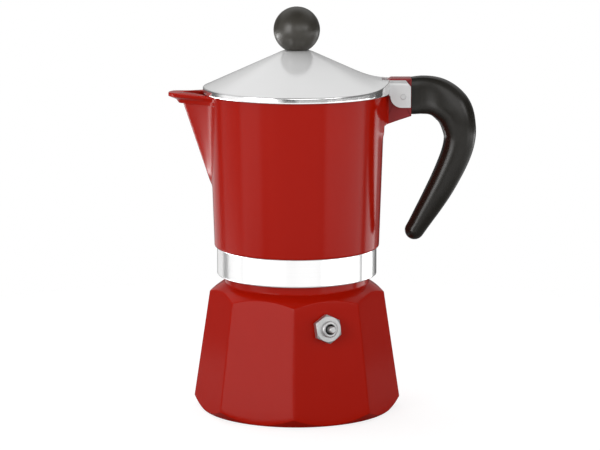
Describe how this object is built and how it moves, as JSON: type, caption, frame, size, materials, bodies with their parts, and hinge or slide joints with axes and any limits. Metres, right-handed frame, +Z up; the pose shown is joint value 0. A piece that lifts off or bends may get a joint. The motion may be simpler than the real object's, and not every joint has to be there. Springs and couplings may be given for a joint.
{
  "type": "moka pot",
  "caption": "Stovetop coffee maker: octagonal red boiler with relief valve, screw-on round jug with spout and hooked handle, hinged conical lid with ball knob.",
  "frame": {"origin": "centre of the boiler's base, on the surface that the pot stands on", "axes": "+Z up along the pot's axis, +X towards the handle, -X towards the spout"},
  "size_m": [0.1347, 0.0912, 0.1772],
  "materials": {
    "red_enamel": "gloss",
    "lid_aluminium": "polished",
    "sheet_aluminium": "satin",
    "black_plastic": "satin",
    "plated_steel": "plated",
    "seal_rubber": "matte"
  },
  "bodies": {
    "boiler": {"boiler": "red_enamel", "valve_body": "plated_steel", "valve_washer": "sheet_aluminium", "valve_retainer": "plated_steel", "valve_spring": "plated_steel"},
    "relief_pin": {"valve_pin": "plated_steel", "valve_seal": "seal_rubber"},
    "funnel": {"funnel": "sheet_aluminium", "funnel_plate": "sheet_aluminium"},
    "gasket": {"gasket": "seal_rubber"},
    "filter": {"filter_plate": "sheet_aluminium"},
    "jug": {"jug": "red_enamel", "handle": "black_plastic", "handle_screw": "plated_steel", "hinge_pin": "plated_steel"},
    "lid": {"lid": "lid_aluminium", "knob": "black_plastic", "knob_screw": "plated_steel", "knob_washer": "plated_steel"}
  },
  "joints": [
    {"name": "lift_off", "type": "slide", "parent": "boiler", "child": "gasket", "axis": [0, 0, 1], "range_m": [0, 0.16]},
    {"name": "funnel_lift", "type": "slide", "parent": "boiler", "child": "funnel", "axis": [0, 0, 1], "range_m": [0, 0.08]},
    {"name": "jug_unscrew", "type": "hinge", "parent": "gasket", "child": "filter", "pos_m": [0, 0, 0.0713], "axis": [0, 0, 1], "range_deg": [0, 630]},
    {"name": "thread_rise", "type": "slide", "parent": "filter", "child": "jug", "axis": [0, 0, 1], "range_m": [0, 0.0053]},
    {"name": "lid_hinge", "type": "hinge", "parent": "jug", "child": "lid", "pos_m": [0.0462, 0, 0.1386], "axis": [0, 1, 0], "range_deg": [0, 95]},
    {"name": "valve_pin_lift", "type": "slide", "parent": "boiler", "child": "relief_pin", "axis": [0.3549, -0.9247, 0.138], "range_m": [0, 0.0015], "stiffness_N_per_m": 900, "springref_m": -0.001, "deforming": ["valve_spring"]}
  ],
  "couplings": [
    {"joint": "funnel_lift", "follows": "lift_off", "ratio": 0.5},
    {"joint": "thread_rise", "follows": "jug_unscrew", "m_per_rad": 0.00047746}
  ]
}
